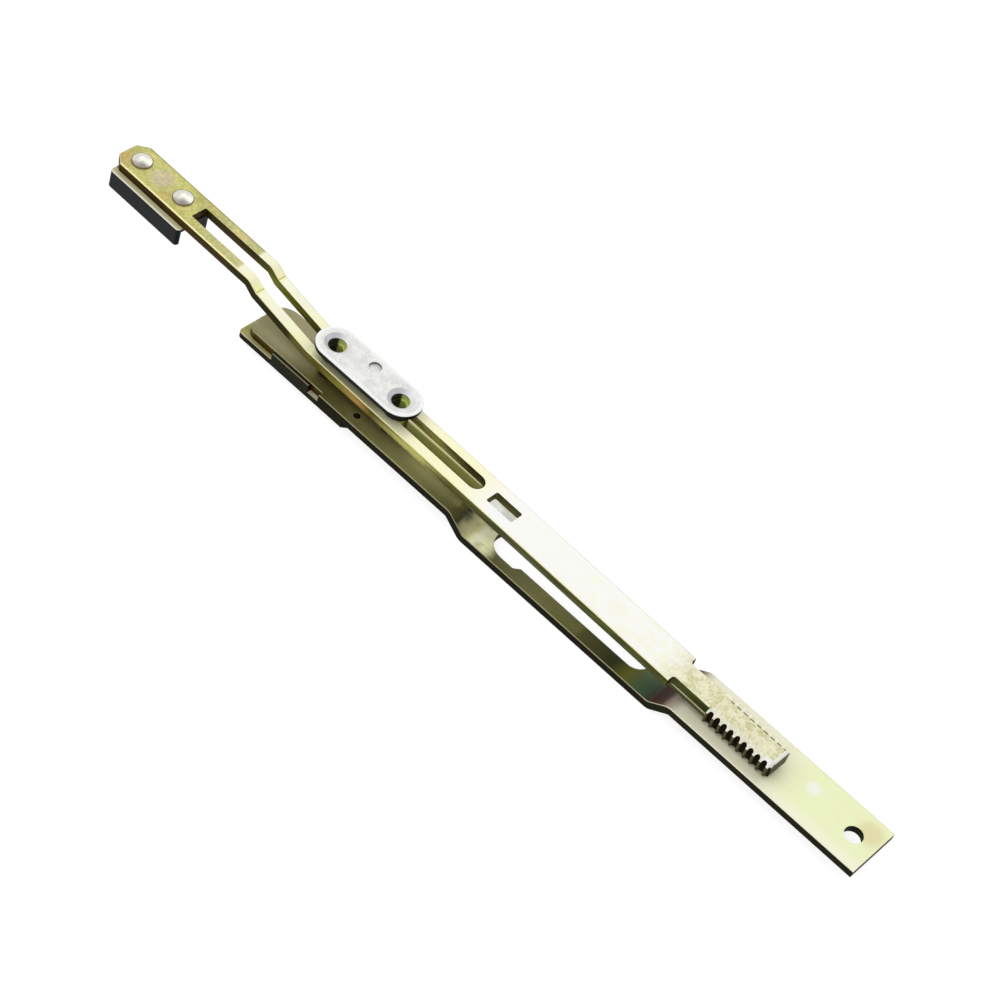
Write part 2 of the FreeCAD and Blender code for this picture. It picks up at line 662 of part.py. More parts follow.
for side, sign in (("Front", "-"), ("Back", "")):
    neck_plan = rectangle(
        "Sizes.shoulder",
        "Sizes.block_left + Sizes.cut_margin",
        f"{sign}Sizes.neck_width / 2",
        f"{sign}Sizes.rod_width",
    )
    cut(rod, f"{side}NeckCut", outline(rod, f"{side}NeckPlan", "XY_Plane", neck_plan))
    tenon_plan = rectangle(
        "Sizes.block_left",
        f"{TENON_END} + Sizes.cut_margin",
        f"{sign}Sizes.tenon_width / 2",
        f"{sign}Sizes.rod_width",
    )
    cut(rod, f"{side}TenonCut", outline(rod, f"{side}TenonPlan", "XY_Plane", tenon_plan))
fillet(
    rod,
    "ShoulderCorners",
    lambda edge: is_line(edge, UPRIGHT)
    and near(middle(edge).x, size("shoulder"))
    and near(abs(middle(edge).y), size("neck_width") / 2),
    "Sizes.shoulder_round",
)
RIVETS = (("front_rivet", "Sizes.front_rivet_place"), ("rear_rivet", "Sizes.rear_rivet_place"))
for name, place in RIVETS:
    shank_circle = circle(
        rod, f"{name}_rod_circle", "XY_Plane", f"-{place}", "0", "Sizes.rivet_shank + 2 * Sizes.fit_gap"
    )
    cut(rod, f"{name}_rod_hole", shank_circle)


ride_on_rod(rod)


# Toothed block: cast round the rod's tenon, with a tongue under the neck.

block = new_body("toothed_block")
BLOCK_END = "Sizes.block_left + Sizes.block_length"
block_plan = rectangle("Sizes.block_left", BLOCK_END, "-Sizes.block_width / 2", "Sizes.block_width / 2")
block_sketch = outline(block, "BlockPlan", "XY_Plane", block_plan, f"{ROD_TOP} - Sizes.block_height")
block_solid = pad(block, "BlockSolid", block_sketch, "Sizes.block_height")
block_top = size("rod_lift") + size("rod_thickness")
block_sides = long_top_edges(size("block_width") / 2, block_top)
bevel = block.newObject("PartDesign::Chamfer", "BlockBevel")
bevel.Base = (block_solid, edge_names(block_solid, lambda edge: block_sides(edge) and middle(edge).y < 0))
bevel.setExpression("Size", "Sizes.block_bevel")
doc.recompute()
fillet(
    block,
    "BlockEnd",
    lambda edge: near(edge.BoundBox.XMin, size("block_left") + size("block_length"))
    and near(edge.BoundBox.ZMax, block_top)
    and not is_line(edge, UPRIGHT),
    "Sizes.block_round",
)
TONGUE_REACH = "(Sizes.neck_width / 2 + Sizes.tongue_overlap)"
TONGUE_END = "Sizes.block_left + Sizes.cut_margin"
TONGUE_LOW = "Sizes.rod_lift - Sizes.tongue_thickness"
tongue_plan = rectangle("Sizes.shoulder", TONGUE_END, f"-{TONGUE_REACH}", TONGUE_REACH)
tongue_sketch = outline(block, "TonguePlan", "XY_Plane", tongue_plan, TONGUE_LOW)
pad(block, "Tongue", tongue_sketch, "Sizes.tongue_thickness")
tenon_hole = rectangle(
    "Sizes.block_left - Sizes.cut_margin",
    f"{TENON_END} + Sizes.fit_gap",
    "-Sizes.tenon_width / 2 - Sizes.fit_gap",
    "Sizes.tenon_width / 2 + Sizes.fit_gap",
)
tenon_sketch = outline(block, "TenonHolePlan", "XY_Plane", tenon_hole, "Sizes.rod_lift")
cut(block, "TenonHole", tenon_sketch, "Sizes.tenon_thickness", True)
GAP_CENTRE = "(Sizes.block_width / 2 - Sizes.tooth_depth + Sizes.gap_width / 2)"
TOOTH_ROWS = (("Front", "-", "front"), ("Back", "", "back"))
for side, sign, row_name in TOOTH_ROWS:
    gap_circle = circle(
        block,
        f"{side}GapCircle",
        "XY_Plane",
        f"Sizes.block_left + Sizes.{row_name}_gap_first",
        f"{sign}{GAP_CENTRE}",
        "Sizes.gap_width",
    )
    gap = cut(block, f"{side}Gap", gap_circle)
    gaps = block.newObject("PartDesign::LinearPattern", f"{side}Gaps")
    gaps.Originals = [gap]
    gaps.Direction = (origin_feature(block, "X_Axis"), [""])
    gaps.Mode = "Spacing"
    gaps.setExpression("Offset", "Sizes.tooth_pitch")
    gaps.setExpression("Occurrences", f"Sizes.{row_name}_gaps")
    block.Tip = gaps
    doc.recompute()
ride_on_rod(block)


# Bolt shoe under the head: a channel open below and at both ends, with two rivet holes.

shoe = new_body("bolt_shoe")
SHOE_END = "-Sizes.shoe_left + Sizes.shoe_length"
SHOE_TOP = f"({HEAD_TOP} - Sizes.rod_thickness)"
SHOE_LOW = f"{SHOE_TOP} - Sizes.shoe_height"
shoe_plan = rectangle("-Sizes.shoe_left", SHOE_END, "-Sizes.shoe_front", "Sizes.shoe_back")
pad(shoe, "ShoeSolid", outline(shoe, "ShoePlan", "XY_Plane", shoe_plan, SHOE_LOW), "Sizes.shoe_height")
fillet(shoe, "ShoeCorners", lambda edge: is_line(edge, UPRIGHT), "Sizes.shoe_corner")
shoe_top = shoe.Shape.BoundBox.ZMax
fillet(shoe, "ShoeTopEdge", lambda edge: near(edge.BoundBox.ZMin, shoe_top), "Sizes.shoe_edge")
channel_plan = rectangle(
    "-Sizes.shoe_left - Sizes.cut_margin",
    f"{SHOE_END} + Sizes.cut_margin",
    "-Sizes.shoe_front + Sizes.shoe_wall",
    "Sizes.shoe_back - Sizes.shoe_wall",
)
channel_sketch = outline(shoe, "ChannelPlan", "XY_Plane", channel_plan, SHOE_LOW)
cut(shoe, "Channel", channel_sketch, "Sizes.shoe_height - Sizes.shoe_wall", True)
shoe_low = shoe.Shape.BoundBox.ZMin
fillet(
    shoe,
    "ShoeFeet",
    lambda edge: is_line(edge, ACROSS) and near(middle(edge).z, shoe_low),
    "Sizes.shoe_foot",
)
for name, place in RIVETS:
    shank_circle = circle(
        shoe, f"{name}_shoe_circle", "XY_Plane", f"-{place}", "0", "Sizes.rivet_shank + 2 * Sizes.fit_gap"
    )
    cut(shoe, f"{name}_shoe_hole", shank_circle)
ride_on_rod(shoe)


# Rivets: low cone heads on the rod, closed tails under the shoe's web.

WEB_LOW = f"{SHOE_TOP} - Sizes.shoe_wall"

for name, place in RIVETS:
    rivet_section = [
        ("0", f"{WEB_LOW} - Sizes.tail_height"),
        ("Sizes.rivet_tail / 2", f"{WEB_LOW} - Sizes.tail_height"),
        ("Sizes.rivet_tail / 2", WEB_LOW),
        ("Sizes.rivet_shank / 2", WEB_LOW),
        ("Sizes.rivet_shank / 2", HEAD_TOP),
        ("Sizes.rivet_head / 2", HEAD_TOP),
        ("Sizes.rivet_head / 2", f"{HEAD_TOP} + Sizes.rivet_rim"),
        ("Sizes.rivet_crown / 2", f"{HEAD_TOP} + Sizes.rivet_rise"),
        ("0", f"{HEAD_TOP} + Sizes.rivet_rise"),
    ]
    turned(
        name,
        rivet_section,
        f"-Sizes.guide_place - {place} * cos(Sizes.rod_skew)",
        f"{place} * sin(Sizes.rod_skew)",
    )


# Every object is tested before anything is written.

for item in doc.Objects:
    if "Invalid" in item.State or "Error" in item.State:
        raise RuntimeError(f"{item.Name} failed: {item.State}")
bodies = [item for item in doc.Objects if item.TypeId == "PartDesign::Body"]
for body in bodies:
    if body.Shape.isNull() or not body.Shape.isValid():
        raise RuntimeError(f"{body.Label} has no valid shape")
    box = body.Shape.BoundBox
    reach = f"{box.XLength:.1f} x {box.YLength:.1f} x {box.ZLength:.1f} mm"
    print(f"{body.Label}: {len(body.Shape.Solids)} solid, {body.Shape.Volume:.1f} mm3, {reach}")
for body in bodies:
    body.Shape.exportStep(f"parts/{body.Label}.step")
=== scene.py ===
import math

import bmesh
import bpy
from mathutils import Matrix, Vector

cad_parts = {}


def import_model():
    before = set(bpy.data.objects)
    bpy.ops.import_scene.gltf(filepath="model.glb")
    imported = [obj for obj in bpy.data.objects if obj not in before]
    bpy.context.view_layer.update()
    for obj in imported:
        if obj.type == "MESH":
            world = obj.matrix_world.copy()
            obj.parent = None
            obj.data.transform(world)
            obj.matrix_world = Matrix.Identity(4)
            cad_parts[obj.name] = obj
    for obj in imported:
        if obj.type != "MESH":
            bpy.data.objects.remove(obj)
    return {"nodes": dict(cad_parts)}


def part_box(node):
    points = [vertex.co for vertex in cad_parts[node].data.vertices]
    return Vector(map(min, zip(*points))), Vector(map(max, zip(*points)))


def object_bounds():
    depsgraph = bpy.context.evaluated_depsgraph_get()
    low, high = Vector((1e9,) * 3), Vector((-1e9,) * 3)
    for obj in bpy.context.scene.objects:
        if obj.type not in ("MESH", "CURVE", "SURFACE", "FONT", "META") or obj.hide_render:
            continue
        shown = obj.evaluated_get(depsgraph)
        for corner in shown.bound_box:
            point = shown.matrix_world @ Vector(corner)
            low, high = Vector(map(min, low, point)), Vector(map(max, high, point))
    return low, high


# Tilt and turn espagnolette. Every length is in metres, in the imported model's frame, and the
# finishes read places in millimetres.

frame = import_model()
cad_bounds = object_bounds()
nodes = frame["nodes"]

MM = 0.001


def in_mm(node):
    """Lowest and highest corner of a node, in millimetres."""
    low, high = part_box(node)
    return [value / MM for value in low], [value / MM for value in high]


def srgb(red, green, blue):
    """A colour as it shows on screen, from 0 to 255, made linear."""
    linear = []
    for channel in (red, green, blue):
        share = channel / 255
        linear.append(share / 12.92 if share <= 0.04045 else ((share + 0.055) / 1.055) ** 2.4)
    return tuple(linear)


def colour(value):
    """An RGB triple gets its alpha; a socket passes through."""
    if isinstance(value, tuple) and len(value) == 3:
        return (*value, 1.0)
    return value


class Wire:
    """A shader socket or a number that can be used in Python expressions."""

    def __init__(self, finish, source):
        self.finish = finish
        self.source = source

    def maths(self, operation, *others, flip=False):
        values = [self.source] + [getattr(other, "source", other) for other in others]
        if flip:
            values.reverse()
        node = self.finish.node("ShaderNodeMath", {"operation": operation}, dict(enumerate(values)))
        return node[0]

    def __add__(self, other):
        return self.maths("ADD", other)

    __radd__ = __add__

    def __sub__(self, other):
        return self.maths("SUBTRACT", other)

    def __rsub__(self, other):
        return self.maths("SUBTRACT", other, flip=True)

    def __mul__(self, other):
        return self.maths("MULTIPLY", other)

    __rmul__ = __mul__

    def __neg__(self):
        return self.maths("MULTIPLY", -1.0)

    def __abs__(self):
        return self.maths("ABSOLUTE")

    def power(self, exponent):
        return self.maths("POWER", exponent)

    def higher_of(self, other):
        return self.maths("MAXIMUM", other)

    def lower_of(self, other):
        return self.maths("MINIMUM", other)

    def ramp(self, low, high):
        """0 below low, 1 above high, with a soft rise between."""
        return self.mapped(low, high, "SMOOTHSTEP")

    def share(self, low, high):
        """0 at low, 1 at high and an even rise between."""
        return self.mapped(low, high, "LINEAR")

    def mapped(self, low, high, rise):
        span = {"From Min": low, "From Max": high, "To Min": 0.0, "To Max": 1.0}
        settings = {"interpolation_type": rise}
        node = self.finish.node("ShaderNodeMapRange", settings, {"Value": self.source, **span})
        return node["Result"]

    def band(self, low, high, soft):
        """1 between two values, falling to 0 over the soft width outside them."""
        return self.ramp(low - soft, low) * (1 - self.ramp(high, high + soft))


class Node:
    """One shader node; its outputs are read by name or number."""

    def __init__(self, finish, node):
        self.finish = finish
        self.node = node

    def __getitem__(self, key):
        return Wire(self.finish, self.node.outputs[key])


class Finish:
    """A node material being built: one method makes every node."""

    def __init__(self, name):
        self.material = bpy.data.materials.new(name)
        self.material.use_nodes = True
        self.tree = self.material.node_tree
        self.tree.nodes.clear()
        self.output = self.tree.nodes.new("ShaderNodeOutputMaterial")
        place = self.node("ShaderNodeTexCoord")["Object"]
        in_mm_inputs = {0: place, "Scale": 1 / MM}
        self.place = self.node("ShaderNodeVectorMath", {"operation": "SCALE"}, in_mm_inputs)[0]
        axes = self.node("ShaderNodeSeparateXYZ", {}, {0: self.place})
        self.x, self.y = axes["X"], axes["Y"]
        facing = self.node("ShaderNodeNewGeometry")["Normal"]
        normal = self.node("ShaderNodeSeparateXYZ", {}, {0: facing})
        self.facing_x, self.facing_y, self.facing_z = normal["X"], normal["Y"], normal["Z"]

    def node(self, kind, settings=None, inputs=None):
        node = self.tree.nodes.new(kind)
        for name, value in (settings or {}).items():
            if name == "stops":
                set_stops(node.color_ramp, value)
            else:
                setattr(node, name, value)
        for key, value in (inputs or {}).items():
            source = getattr(value, "source", value)
            if isinstance(source, bpy.types.NodeSocket):
                self.tree.links.new(source, node.inputs[key])
            else:
                node.inputs[key].default_value = source
        return Node(self, node)

    def noise(self, scale, detail=2.0, roughness=0.5, stretch=(1, 1, 1), shift=(0, 0, 0)):
        """Noise from 0 to 1 whose scale is in cycles per millimetre."""
        placing = {"Vector": self.place, "Location": shift, "Scale": stretch}
        mapping = self.node("ShaderNodeMapping", {}, placing)
        inputs = {
            "Vector": mapping["Vector"],
            "Scale": scale,
            "Detail": detail,
            "Roughness": roughness,
        }
        return self.node("ShaderNodeTexNoise", {"noise_dimensions": "3D"}, inputs)["Fac"]

    def mix(self, factor, first, second):
        """The first colour at a factor of 0, the second at 1."""
        inputs = {0: factor, 6: colour(first), 7: colour(second)}
        return self.node("ShaderNodeMix", {"data_type": "RGBA"}, inputs)[2]

    def tones(self, place, *stops):
        """Colours that follow one another along a place in millimetres."""
        low, high = stops[0][0], stops[-1][0]
        shares = [((at - low) / (high - low), colour(tone)) for at, tone in stops]
        ramp = self.node("ShaderNodeValToRGB", {"stops": shares}, {0: place.share(low, high)})
        return ramp["Color"]

    def spot(self, x, y, reach, soft):
        """1 inside a round patch seen from above, falling to 0 over the soft width."""
        distance = ((self.x - x).power(2) + (self.y - y).power(2)).power(0.5)
        return 1 - distance.ramp(reach, reach + soft)

    def bump(self, height, strength, distance):
        inputs = {"Height": height, "Strength": strength, "Distance": distance}
        return self.node("ShaderNodeBump", {}, inputs)["Normal"]

    def surface(self, **inputs):
        named = {name.replace("_", " "): value for name, value in inputs.items()}
        shader = self.node("ShaderNodeBsdfPrincipled", {}, named)
        self.tree.links.new(shader["BSDF"].source, self.output.inputs["Surface"])
        return self.material


def set_stops(ramp, stops):
    while len(ramp.elements) > 1:
        ramp.elements.remove(ramp.elements[-1])
    ramp.elements[0].position, ramp.elements[0].color = stops[0]
    for position, tone in stops[1:]:
        ramp.elements.new(position).color = tone


def dress(node, material):
    slots = nodes[node].data.materials
    if len(slots) == 0:
        slots.append(material)
    for number in range(len(slots)):
        slots[number] = material


# Tints of yellow passivated zinc plating, from thin and pale to thick and brown; the palest also
# serve as painted highlight and the darkest as painted shade.

WHITE = srgb(254, 254, 249)
CREAM = srgb(250, 248, 220)
LEMON = srgb(244, 251, 200)
BUTTER = srgb(248, 240, 184)
STRAW = srgb(206, 201, 124)
SAND = srgb(224, 201, 138)
ROSE = srgb(207, 191, 168)
AMBER = srgb(200, 160, 92)
PUTTY = srgb(166, 161, 122)
OLIVE = srgb(150, 147, 93)
MOSS = srgb(110, 106, 56)
BRONZE = srgb(82, 62, 24)
SHADE = srgb(62, 66, 34)
# Near black, used for painted shade on unlit sides and for dark streaks on them.
NEAR_BLACK = srgb(28, 26, 9)

# Tints that follow one another along a piece, each after its place in millimetres. Beside the
# plating's own tints they carry painted light: painted shade where other parts shade a face, and
# painted highlights where a face catches the light.

# Painted shade where the rod shades the plate, at the ramp's top bend and in the recess, and a
# painted highlight on the ramp, over the plating's own tints.
PLATE_LEFT_TINT_AND_PAINTED_LIGHT = (
    (-191, ROSE),
    (-189.5, PUTTY),
    (-178, PUTTY),
    (-168, MOSS),
    (-160, MOSS),
    (-142, OLIVE),
    (-131, OLIVE),
    (-119.5, MOSS),
    (-117.6, SHADE),
    (-116, srgb(192, 188, 142)),
    (-113.4, srgb(222, 217, 160)),
    (-112.2, srgb(255, 253, 216)),
    (-108.6, srgb(255, 254, 200)),
    (-105.5, srgb(112, 108, 62)),
    (-98, srgb(134, 132, 88)),
    (-90, OLIVE),
    (-70, MOSS),
)
# Painted shade in the recess and on the dark right ramp, over the plating's own tints; pale on the
# screwed end.
PLATE_RIGHT_TINT_AND_PAINTED_SHADE = (
    (-78, MOSS),
    (-67, SHADE),
    (-63, srgb(126, 126, 44)),
    (-59, srgb(92, 118, 82)),
    (-56.5, srgb(78, 102, 76)),
    (-54, srgb(76, 38, 26)),
    (-51.8, srgb(84, 58, 46)),
    (-50, ROSE),
    (-47.5, CREAM),
    (-26, srgb(254, 252, 222)),
    (-16, LEMON),
    (6, LEMON),
)
# Painted shade on the notch wall, darker and browner away from the plate's left end.
NOTCH_WALL_PAINTED_SHADE = ((-191, MOSS), (-188.5, MOSS), (-187, BRONZE))
# The rod's top, whitening towards its middle: partly plating tint and partly a painted highlight.
ROD_TOP_TINT_AND_HIGHLIGHT = (
    (-199, CREAM),
    (-194, srgb(248, 246, 206)),
    (-192, srgb(250, 249, 186)),
    (-190, srgb(252, 252, 224)),
    (-183, CREAM),
    (-177, srgb(252, 252, 206)),
    (-165, srgb(254, 252, 212)),
    (-122, srgb(255, 252, 208)),
    (-112, WHITE),
)
# Painted light and shade along the rod's side, paler where it catches the light and dark where it
# lies in shade, with amber streaks of the plating.
ROD_SIDE_TINT_AND_PAINTED_LIGHT = (
    (-244, srgb(78, 60, 18)),
    (-200, srgb(72, 58, 20)),
    (-194, srgb(120, 122, 40)),
    (-185, srgb(136, 138, 40)),
    (-178, MOSS),
    (-168, srgb(120, 112, 44)),
    (-160, srgb(154, 144, 66)),
    (-154.5, AMBER),
    (-150, srgb(112, 102, 50)),
    (-142, STRAW),
    (-133, STRAW),
    (-124, MOSS),
    (-104, srgb(104, 108, 68)),
    (-60, srgb(92, 98, 48)),
    (-22, SHADE),
)

# Round patches: place in millimetres, radius, soft width, strength and tint.

PLATE_PATCHES = (
    (-13.7, 2.3, 0.6, 2.2, 0.8, WHITE),
    (2.4, 3.2, 1.5, 3.5, 0.5, SAND),
)
HEAD_PATCHES = (
    (-231.5, 1.4, 1.2, 3.2, 0.8, ROSE),
    (-242.5, -1.5, 0.8, 3.0, 0.6, AMBER),
    (-227.0, -3.0, 0.5, 2.5, 0.5, AMBER),
    (-206.5, 4.6, 1.2, 2.5, 0.6, SAND),
)

# Places in millimetres. A pair says where a change starts and where it is complete.

PLATE_TONES_MEET = (-79, -77)
PLATE_PALE_BLOTCHES = (-50, -44)
PLATE_DULL_TO_BRIGHT = (-52, -46)
PLATE_EDGE_TURNS_PALE = (-60, -45)
PLATE_SIDE_TURNS_PALE = (-60, -50)
NOTCH_END = -163.9
SLOT_LINE = 4.7
UNDER_SLOT_X = (-149, -122)
UNDER_SLOT_Y = (-2.2, SLOT_LINE + 0.4)
UNDER_WINDOW_X = (-116, -108)
UNDER_WINDOW_Y = (2.8, 5.8)
JOGGLE_GLINT_X = (-113, -107)
STRIP_EDGE = (7.45, 7.7)
STRIP_PALE_END = (-168.5, -168)
ARMS_START = (-217, -212)
HEAD_MEETS_ROD = (-199.6, -198.4)
HEAD_BACK_TURNS_PALE = (-238, -232)
CRANK_CREASE = (-191.6, -191.3)
CRANK_SIDE = (-200, -180)
GUIDE_SHADOW_ON_ROD_X = (-167, -152)
ROD_LOSES_GLOSS = (-202, -196)
ROD_MOTTLING = (-110, -60)
ROD_TURNS_CAST = (-60, -48)
BACK_GAP_X = -39.57
BACK_GAP_PITCH = 2.05
BLOCK_BRIGHT_CORNER = (-25.6, -24.6)
ROD_EDGE = (4.55, 4.75)
ROD_OUTER_SIDE = (4.7, 4.9)
BLOCK_OUTER_SIDE = (3.3, 3.5)
INSERT_EDGE = (7.6, 7.8)

# The guide plate and its holes, in millimetres, and the side from which the holes' painted light
# falls.

GUIDE_LOW, GUIDE_HIGH = in_mm("guide_plate")
GUIDE_X = (GUIDE_LOW[0] + GUIDE_HIGH[0]) / 2
GUIDE_HALF_WIDTH = (GUIDE_HIGH[1] - GUIDE_LOW[1]) / 2
GUIDE_HALF_LENGTH = (GUIDE_HIGH[0] - GUIDE_LOW[0]) / 2
DIMPLE_Y = 2.0
DIMPLE_RADIUS = 1.75
BUSH_BOXES = (in_mm("guide_bush_left"), in_mm("guide_bush_right"))
BUSH_X = [(low[0] + high[0]) / 2 for low, high in BUSH_BOXES]
GUIDE_HOLE_REACH = 2.5
DAYLIGHT = (0.71, 0.66)

# What several finishes share. The rod drifts by its skew across the plate per length.

ROD_SKEW = 0.0148
BUMP_HEIGHT = 0.2 * MM
SIDE_ROUGHNESS = 0.6
PLATED_GRAIN = 1.8
ROUNDED = (0.25, 0.95)


def across_rod(finish):
    """Distance from the rod's own middle line, which runs slightly askew."""
    return finish.y + ROD_SKEW * (finish.x - GUIDE_X)


def edge_highlight_and_shade(finish, tone, front, back):
    """Painted highlight on rounded edges that face the front and painted shade on those that face
    the back, each in its given tint.
    """
    rounding = finish.facing_z.band(*ROUNDED, 0.03)
    tone = finish.mix(rounding * (-finish.facing_y).ramp(0.1, 0.3), tone, front)
    return finish.mix(rounding * finish.facing_y.ramp(0.1, 0.3), tone, back)


def patched(finish, tone, patches):
    for x, y, radius, soft, strength, tint in patches:
        tone = finish.mix(strength * finish.spot(x, y, radius, soft), tone, tint)
    return tone


def plated(finish, face, side, rough, metal=1.0):
    """Sheet steel under the plating: faces by their tint; sheared sides dull, with their tint
    painted dark as shade and streaked darker.
    """
    top = finish.facing_z.ramp(0.2, 0.6)
    fine = finish.noise(PLATED_GRAIN, 3.0, 0.6)
    streak = finish.noise(0.9, 2.0, 0.5, (0.12, 1, 1))
    side = finish.mix(0.5 * streak.ramp(0.4, 0.7), side, NEAR_BLACK)
    return finish.surface(
        Base_Color=finish.mix(top, side, face),
        Metallic=1 - (1 - metal) * top,
        Roughness=SIDE_ROUGHNESS - (SIDE_ROUGHNESS - rough) * top + 0.1 * fine,
        Normal=finish.bump(fine, 0.05, BUMP_HEIGHT),
    )


def cast(finish, top, face, side, face_metal, rough, grain, grain_strength):
    """Casting with a grainy face and metallic sides."""
    return finish.surface(
        Base_Color=finish.mix(top, side, face),
        Metallic=1 - (1 - face_metal) * top,
        Roughness=rough,
        Normal=finish.bump(grain, grain_strength, BUMP_HEIGHT),
    )


def in_bush(finish):
    """1 inside either guide hole, seen from above."""
    left, right = (finish.spot(place, 0, GUIDE_HOLE_REACH, 0.1) for place in BUSH_X)
    return left.higher_of(right)


def lit_side_of_hole(finish):
    """1 on the side of each guide hole that gets the painted light."""
    from_left = finish.x - BUSH_X[0]
    from_right = finish.x - BUSH_X[1]
    nearest = abs(from_left).lower_of(abs(from_right))
    right_half = (finish.x - GUIDE_X).ramp(-0.1, 0.1)
    along = from_left * (1 - right_half) + from_right * right_half
    across = DAYLIGHT[0] * along + DAYLIGHT[1] * finish.y
    return across.ramp(0.1, 0.7) * nearest.band(0, GUIDE_HOLE_REACH, 0.1)


def face_plate_finish():
    finish = Finish("face_plate_plating")
    cloud = finish.noise(0.10, 3.0, 0.55, (0.6, 1, 1))
    blotch = finish.noise(0.30, 3.0, 0.6, (0.5, 1, 1), (31, 0, 0))
    left = finish.tones(finish.x + 4 * (blotch - 0.5), *PLATE_LEFT_TINT_AND_PAINTED_LIGHT)
    right = finish.tones(finish.x, *PLATE_RIGHT_TINT_AND_PAINTED_SHADE)
    worn = finish.mix(0.5 * blotch.ramp(0.5, 0.72), left, finish.mix(cloud, BRONZE, STRAW))
    pale_blotch = 0.5 * blotch.ramp(0.5, 0.7) * finish.x.ramp(*PLATE_PALE_BLOTCHES)
    pale = finish.mix(pale_blotch, right, finish.mix(cloud, LEMON, BUTTER))
    tone = finish.mix(finish.x.ramp(*PLATE_TONES_MEET), worn, pale)

    # Painted light and shade on the plate where it shows through the rod's slot: a painted band of
    # light along the slot line, and a painted highlight under the window.
    slot_light_and_shade = finish.tones(
        finish.y,
        (-2.4, MOSS),
        (SLOT_LINE - 0.7, srgb(118, 120, 36)),
        (SLOT_LINE, BUTTER),
        (SLOT_LINE + 0.6, OLIVE),
    )
    under_slot = finish.x.band(*UNDER_SLOT_X, 3) * finish.y.band(*UNDER_SLOT_Y, 0.9)
    tone = finish.mix(under_slot, tone, slot_light_and_shade)
    window_highlight = finish.x.band(*UNDER_WINDOW_X, 3) * finish.y.band(*UNDER_WINDOW_Y, 1.6)
    tone = finish.mix(window_highlight, tone, WHITE)

    # Painted light: the screwed end is paler towards the front.
    front_painted_light = 0.6 * finish.x.ramp(-26, -16) * (-finish.y).ramp(3, 7)
    tone = finish.mix(front_painted_light, tone, srgb(254, 253, 232))
    tone = patched(finish, tone, PLATE_PATCHES)

    # Sides painted dark as shade, darkest left of the recess, with the notch wall's painted shade;
    # rounded front edges carry a painted highlight, putty on the left and cream on the right, and
    # back edges olive painted shade.
    before_notch_end = 1 - finish.x.ramp(NOTCH_END - 0.2, NOTCH_END)
    notch = (-finish.facing_y).ramp(0.5, 0.9) * before_notch_end
    wall = finish.tones(finish.x, *NOTCH_WALL_PAINTED_SHADE)
    pale_side = finish.x.ramp(*PLATE_SIDE_TURNS_PALE)
    side = finish.mix(pale_side, srgb(27, 26, 10), srgb(36, 35, 18))
    side = finish.mix(notch, side, wall)
    edge = finish.mix(finish.x.ramp(*PLATE_EDGE_TURNS_PALE), PUTTY, CREAM)
    bright_end = finish.x.ramp(*PLATE_DULL_TO_BRIGHT)
    metal = 0.45 - 0.4 * bright_end - 0.45 * finish.x.band(*JOGGLE_GLINT_X, 1.5)
    return plated(finish, edge_highlight_and_shade(finish, tone, edge, OLIVE), side, 0.38, metal)


def backing_finish():
    finish = Finish("backing_strip_plating")
    cloud = finish.noise(0.25, 3.0, 0.6, (0.4, 1, 1))
    tone = finish.mix(cloud.ramp(0.35, 0.65), srgb(168, 163, 92), srgb(214, 212, 154))
    # A painted highlight along the strip's front edge, and painted light on its part past the
    # insert.
    tone = finish.mix((-finish.y).ramp(*STRIP_EDGE), tone, srgb(236, 228, 190))
    tone = finish.mix(finish.x.ramp(*STRIP_PALE_END), tone, srgb(230, 221, 190))
    return plated(finish, tone, srgb(32, 28, 8), 0.42, 0.5)


def head_tone(finish, cloud, blotch):
    """The rod's greenish head and its two arms."""
    speckle = finish.noise(1.4, 3.0, 0.7)
    green = finish.mix(cloud.ramp(0.4, 0.6), srgb(182, 178, 106), srgb(200, 198, 116))
    tone = finish.mix(0.45 * blotch.ramp(0.52, 0.68), green, SAND)
    arms = finish.mix(cloud.ramp(0.4, 0.6), srgb(182, 182, 116), srgb(194, 190, 132))
    tone = finish.mix(finish.x.ramp(*ARMS_START), tone, arms)
    tone = patched(finish, tone, HEAD_PATCHES)
    tone = finish.mix(speckle.ramp(0.48, 0.66) * 0.5, tone, srgb(228, 222, 158))
    tone = finish.mix((1 - speckle.ramp(0.36, 0.52)) * 0.3, tone, OLIVE)
    # A painted highlight along the rod's front edge and painted shade along its back edge.
    tone = finish.mix((-across_rod(finish)).ramp(*ROD_EDGE), tone, srgb(232, 228, 160))
    return finish.mix(across_rod(finish).ramp(*ROD_EDGE), tone, srgb(156, 156, 90))


